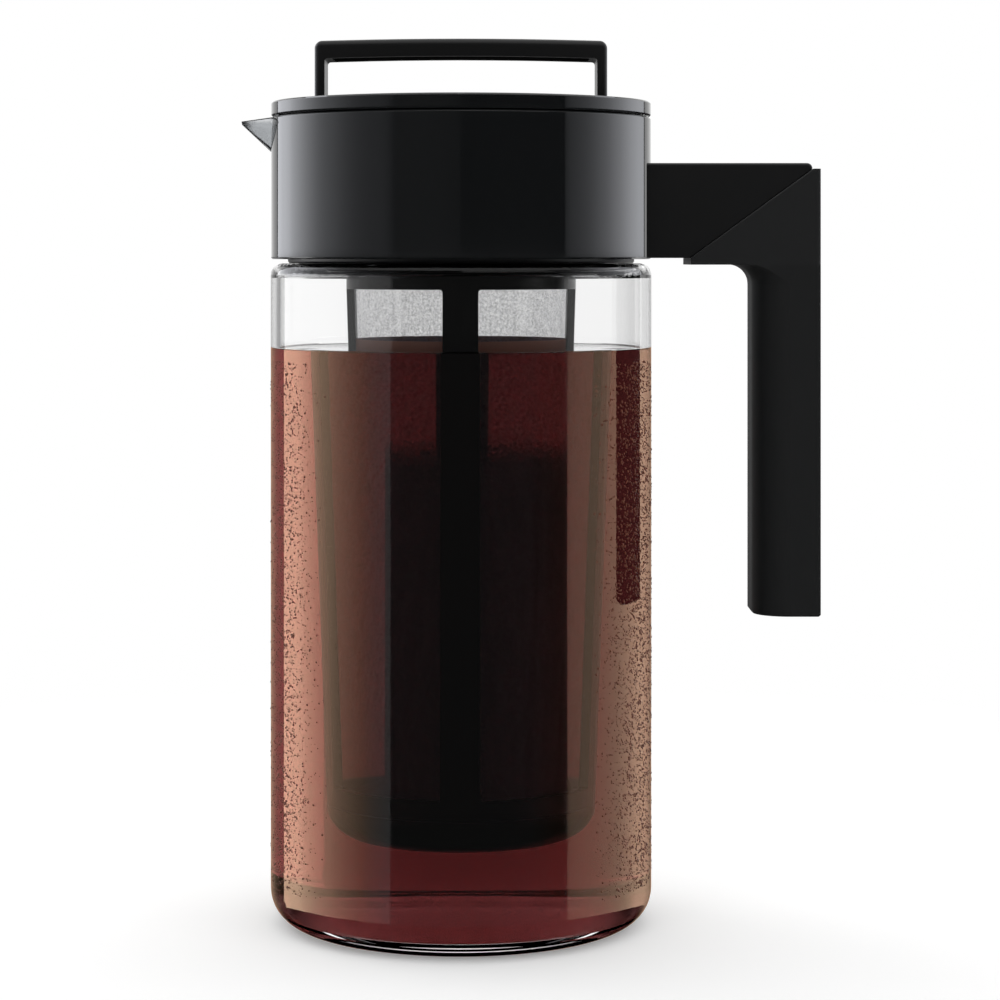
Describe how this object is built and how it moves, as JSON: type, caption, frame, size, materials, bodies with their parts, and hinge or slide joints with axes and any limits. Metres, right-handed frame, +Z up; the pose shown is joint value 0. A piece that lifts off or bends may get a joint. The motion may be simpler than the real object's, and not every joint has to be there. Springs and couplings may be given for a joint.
{
  "type": "cold brew coffee maker",
  "caption": "Glass cold brew carafe with a gloss black collar, V spout and mitred side handle, a turning push-in lid with a carrying strap, and a tall mesh filter screwed under the lid.",
  "frame": {"origin": "middle of the carafe's underside, on the surface it stands on", "axes": "+Z up along the carafe's axis, +X towards the handle, the spout points along -X"},
  "size_m": [0.1478, 0.098, 0.2266],
  "materials": {
    "clear_glass": "clear, polished",
    "dark_silicone": "matt silicone",
    "tough_plastic": "moulded, plain",
    "smoke_plastic": "polished, smoky grey",
    "gloss_black": "high gloss",
    "satin_black": "satin",
    "soft_touch_black": "soft-touch, matt",
    "steel": "plain",
    "brass": "turned",
    "steel_mesh": "fine woven mesh"
  },
  "bodies": {
    "jug": {"carafe": "clear_glass", "neck_boot": "dark_silicone", "rim_pad": "dark_silicone", "neck_clamp_front": "tough_plastic", "neck_clamp_rear": "tough_plastic", "pour_liner": "smoke_plastic", "collar_shell": "gloss_black", "handle_arm": "satin_black", "grip_sleeve": "soft_touch_black", "grip_plug": "dark_silicone", "handle_screws": "steel", "handle_inserts": "brass", "grip_screw": "steel"},
    "lid_ring": {"rim_seal": "dark_silicone"},
    "lid": {"lid_cap": "gloss_black", "lid_plug": "satin_black", "seal_band": "dark_silicone", "lid_strap": "satin_black"},
    "filter_ring": {"filter_seal": "dark_silicone"},
    "filter": {"filter_frame": "satin_black", "filter_mesh": "steel_mesh", "filter_base": "satin_black"}
  },
  "joints": [
    {"name": "lid_lift", "type": "slide", "parent": "jug", "child": "lid_ring", "axis": [0, 0, 1], "range_m": [0, 0.19]},
    {"name": "lid_turn", "type": "hinge", "parent": "lid_ring", "child": "lid", "pos_m": [0, 0, 0.2065], "axis": [0, 0, 1], "range_deg": [0, 90]},
    {"name": "filter_drop", "type": "slide", "parent": "lid", "child": "filter_ring", "axis": [0, 0, -1], "range_m": [0, 0.008]},
    {"name": "filter_twist", "type": "hinge", "parent": "filter_ring", "child": "filter", "pos_m": [0, 0, 0.188], "axis": [0, 0, -1], "range_deg": [0, 360]}
  ],
  "couplings": [
    {"joint": "filter_drop", "follows": "filter_twist", "m_per_rad": 0.00127}
  ]
}
